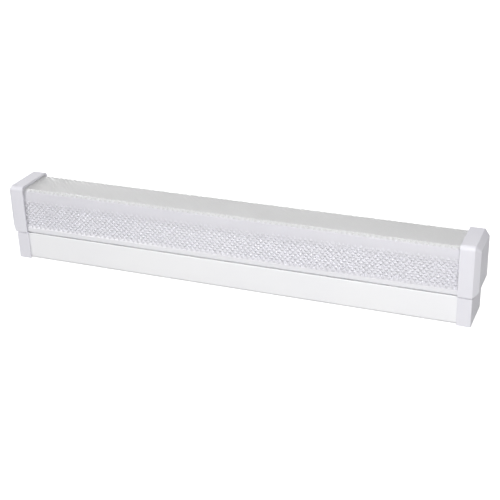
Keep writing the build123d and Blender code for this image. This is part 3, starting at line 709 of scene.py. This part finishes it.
def prism_share(place, inward):
    """Share of the full prism depth at a point of the section."""
    if abs(inward[0]) < top_facing:
        return top_share
    if abs(inward[0]) < side_facing:
        return bend_share
    return side_share + (1.0 - side_share) * (1.0 - zone_share(place)) ** 2


def inner_points():
    """Points of the feet, the beads and the inner wall, from the back round to the front."""
    foot = diffuser_low.z
    inner = diffuser_high.y - diffuser_wall
    bead_low = foot + bead_rise
    bead_high = bead_low + bead_height
    half = [
        (diffuser_high.y, foot), (inner, foot), (inner, bead_low), (inner - bead_reach, bead_low),
        (inner - bead_reach, bead_high), (inner, bead_high),
    ]
    radius = diffuser_corner - diffuser_wall
    for step in range(inner_bend_steps + 1):
        turn = math.pi / 2 * step / inner_bend_steps
        y = inner - radius * (1 - math.cos(turn))
        z = diffuser_high.z - diffuser_wall - radius * (1 - math.sin(turn))
        half.append((y, z))
    return half + [(-y, z) for y, z in reversed(half)]


def diffuser_section():
    """The closed outline: each point with its inward direction and its share of the prism depth."""
    count = 2 * prisms_round
    outside = [outer_point(round_length * step / count) for step in range(count + 1)]
    pressed = [(leaned(place, inward), inward, prism_share(place, inward)) for place, inward in outside[1:-1]]
    first, last, *inside = [
        (place, (0, 0), 0.0) for place in [outside[0][0], outside[-1][0]] + inner_points()
    ]
    return [first] + pressed + [last] + inside


def diffuser_tree():
    """Sweeps the section along the light, presses the prisms into it, and folds each one along its ridges."""
    tree, given = new_geometry_tree(
        "prismatic_sheet", Start="Vector", End="Vector", Steps="Int", Depth="Float", Band="Float",
        Finish="Material", Rail="Material",
    )
    section = add_node(tree, "GeometryNodeMeshToCurve", {"Mesh": given["Geometry"]})
    line = add_node(tree, "GeometryNodeCurvePrimitiveLine", {"Start": given["Start"], "End": given["End"]})
    path = add_node(tree, "GeometryNodeResampleCurve", {
        "Curve": line.outputs["Curve"], "Count": given["Steps"],
    })
    number = add_node(tree, "GeometryNodeSplineParameter").outputs["Index"]
    marked = []
    for curve, label in ((path, "step_along"), (section, "step_round")):
        marked.append(add_node(tree, "GeometryNodeStoreNamedAttribute", {
            "Geometry": curve.outputs["Curve"], "Name": label, "Value": number,
        }, data_type="FLOAT", domain="POINT").outputs["Geometry"])
    sheet = add_node(tree, "GeometryNodeCurveToMesh", {
        "Curve": marked[0], "Profile Curve": marked[1], "Fill Caps": True,
    })
    read = {}
    for label, kind in (
        ("step_along", "FLOAT"), ("step_round", "FLOAT"), ("prism", "FLOAT"), ("fold", "FLOAT"),
        ("inward", "FLOAT_VECTOR"),
    ):
        attribute = add_node(tree, "GeometryNodeInputNamedAttribute", {"Name": label}, data_type=kind)
        read[label] = attribute.outputs["Attribute"]
    # Every other point is pressed in, as on a chessboard
    along, around = [
        add_node(tree, "ShaderNodeMath", {0: read[label]}, operation="FLOOR").outputs[0]
        for label in ("step_along", "step_round")
    ]
    both = add_node(tree, "ShaderNodeMath", {0: along, 1: around}, operation="ADD").outputs[0]
    odd = add_node(tree, "ShaderNodeMath", {0: both, 1: 2.0}, operation="MODULO").outputs[0]
    sunk = add_node(tree, "ShaderNodeMath", {0: odd, 1: read["prism"]}, operation="MULTIPLY").outputs[0]
    sunk = add_node(tree, "ShaderNodeMath", {0: sunk, 1: given["Depth"]}, operation="MULTIPLY").outputs[0]
    offset = add_node(tree, "ShaderNodeVectorMath", {0: read["inward"], "Scale": sunk}, operation="SCALE")
    pressed = add_node(tree, "GeometryNodeSetPosition", {
        "Geometry": sheet.outputs["Mesh"], "Offset": offset.outputs["Vector"],
    })
    kept = add_node(tree, "GeometryNodeStoreNamedAttribute", {
        "Geometry": pressed.outputs["Geometry"], "Name": "fold", "Value": odd,
    }, data_type="FLOAT", domain="FACE")
    first = add_node(tree, "FunctionNodeCompare", {
        0: read["fold"], 1: 0.5,
    }, data_type="FLOAT", operation="GREATER_THAN")
    folded = add_node(tree, "GeometryNodeTriangulate", {
        "Mesh": kept.outputs["Geometry"], "Selection": first.outputs[0],
    }, quad_method="FIXED")
    folded = add_node(tree, "GeometryNodeTriangulate", {
        "Mesh": folded.outputs["Mesh"],
    }, quad_method="FIXED_ALTERNATE")
    outwards = add_node(tree, "GeometryNodeFlipFaces", {"Mesh": folded.outputs["Mesh"]})
    real = add_node(tree, "GeometryNodeRealizeInstances", {"Geometry": outwards.outputs["Mesh"]})
    place = add_node(tree, "GeometryNodeInputPosition").outputs[0]
    height = add_node(tree, "ShaderNodeSeparateXYZ", {0: place}).outputs["Z"]
    low = add_node(tree, "FunctionNodeCompare", {
        0: height, 1: given["Band"],
    }, data_type="FLOAT", operation="LESS_THAN")
    coated = add_node(tree, "GeometryNodeSetMaterial", {
        "Geometry": real.outputs["Geometry"], "Material": given["Finish"],
    })
    coated = add_node(tree, "GeometryNodeSetMaterial", {
        "Geometry": coated.outputs["Geometry"], "Selection": low.outputs[0], "Material": given["Rail"],
    })
    add_node(tree, "NodeGroupOutput", {"Geometry": coated.outputs["Geometry"]})
    return tree


def make_diffuser(sheet_material, rail_material):
    """The diffuser, with its section drawn flat as the host of the tree that sweeps it."""
    points = diffuser_section()
    count = len(points)
    corners = [(-y, -z, 0) for (y, z), _, _ in points]
    host = bpy.data.meshes.new("diffuser_section")
    host.from_pydata(corners, [(at, (at + 1) % count) for at in range(count)], [])
    prism = host.attributes.new("prism", "FLOAT", "POINT")
    prism.data.foreach_set("value", [share for _, _, share in points])
    inward = host.attributes.new("inward", "FLOAT_VECTOR", "POINT")
    inward.data.foreach_set("vector", [part for _, (y, z), _ in points for part in (0, y, z)])
    mesh = grown(
        "prismatic_diffuser", host, diffuser_tree(),
        Start=(diffuser_low.x, 0, 0), End=(diffuser_high.x, 0, 0), Steps=2 * prisms_along + 1,
        Depth=prism_depth, Band=diffuser_low.z + plain_band, Finish=sheet_material, Rail=rail_material,
    )
    shade(mesh, prism_sharp)
    finished(new_object("prismatic_diffuser", mesh), "cover", "prismatic_acrylic", "diffuser")


# Build the pieces. Each softened copy has a CAD node, a name and the rounding of its edges.
for side in ("left", "right"):
    softened("diffuser_end_cap_" + side, "moulded_cover_cap_" + side, 1.2 * mm)
    softened("base_end_cap_" + side, "moulded_base_cap_" + side, 0.35 * mm)
    softened("latch_knob_" + side, "turned_latch_knob_" + side, 0.3 * mm)
for pole in ("live", "neutral", "earth"):
    softened("release_button_" + pole, "moulded_button_" + pole, 0.3 * mm)
    softened(pole + "_wire", pole + "_insulated_wire", 0)
for sign in ("positive", "negative"):
    softened("led_" + sign + "_wire", sign + "_insulated_wire", 0)
for node, name, edge in (
    ("base_channel", "folded_base_channel", 0),
    ("gear_tray", "folded_gear_tray", 0),
    ("input_connector", "moulded_input_connector", 0.2 * mm),
    ("board_link", "moulded_board_link", 0.3 * mm),
    ("driver_case", "moulded_driver_case", 0.3 * mm),
    ("driver_lid", "moulded_driver_lid", 0.2 * mm),
    ("driver_transformer", "pressed_transformer", 0.6 * mm),
    ("driver_capacitors", "sleeved_capacitors", 0.3 * mm),
    ("driver_choke", "wound_choke", 0.4 * mm),
    ("terminal_housing", "moulded_terminal_housing", 0.25 * mm),
    ("terminal_base", "moulded_terminal_base", 0.2 * mm),
    ("cable_grommet", "moulded_cable_grommet", 0),
    ("tray_wire_bush", "moulded_wire_bush", 0),
    ("diffuser_clips", "bent_spring_clips", 0),
):
    softened(node, name, edge)
# White PPA of the LED bodies: bright, slightly chalky
make_led_packages(moulded_plastic("moulded_white_ppa", "#F2F1EC", "#EDECE6", (0.42, 0.52), 0.008 * mm, 1.6))
make_rivets()
make_screws()
make_diffuser(finishes["prismatic_acrylic"], extruded_acrylic_rail())
for node, thing in frame["nodes"].items():
    thing.data.materials.clear()
    thing.data.materials.append(finishes[slot_of[node]])


# Floor, light and camera
def make_floor():
    """A plain pale floor that reaches past every view."""
    square = ((-1, -1), (1, -1), (1, 1), (-1, 1))
    corners = [(x * floor_reach, y * floor_reach, -floor_drop) for x, y in square]
    mesh = bpy.data.meshes.new("floor")
    mesh.from_pydata(corners, [], [(0, 1, 2, 3)])
    material, _, _ = new_material("pale_floor", {
        "Base Color": linear("#F4F4F4"), "Roughness": 0.8, "Emission Color": linear("#FFFFFF"),
        "Emission Strength": floor_glow,
    })
    mesh.materials.append(material)
    floor = new_object("floor", mesh)
    floor.visible_diffuse = False        # so that it throws no light up at the prisms


def make_light(name, place, size, power):
    """A soft box that faces the light's middle."""
    lamp = bpy.data.lights.new(name, "AREA")
    lamp.shape = "RECTANGLE"
    lamp.size, lamp.size_y = size
    lamp.energy = power
    thing = new_object(name, lamp)
    thing.location = place
    thing.rotation_euler = (Vector(light_aim) - Vector(place)).to_track_quat("-Z", "Y").to_euler()


def make_camera():
    """The photograph's viewing angle."""
    yaw, pitch, roll = (math.radians(angle) for angle in camera_angles)
    forward = Vector((-math.sin(yaw) * math.cos(pitch), math.cos(yaw) * math.cos(pitch), -math.sin(pitch)))
    level = Vector((math.cos(yaw), math.sin(yaw), 0))
    above = level.cross(forward)
    right = math.cos(roll) * level + math.sin(roll) * above
    up = math.cos(roll) * above - math.sin(roll) * level
    lens = bpy.data.cameras.new("camera")
    lens.sensor_width = camera_sensor
    lens.lens = camera_lens
    camera = new_object("camera", lens)
    camera.rotation_euler = Matrix((right, up, -forward)).transposed().to_euler()
    camera.location = camera_place
    bpy.context.scene.camera = camera


make_floor()
make_camera()
for name, (place, size, power) in lights.items():
    make_light(name, place, size, power)
world = bpy.data.worlds.new("studio")
bpy.context.scene.world = world
world.use_nodes = True
background = world.node_tree.nodes["Background"]
background.inputs["Color"].default_value = linear("#FFFFFF")
background.inputs["Strength"].default_value = world_strength
bpy.context.scene.view_settings.view_transform = "Standard"
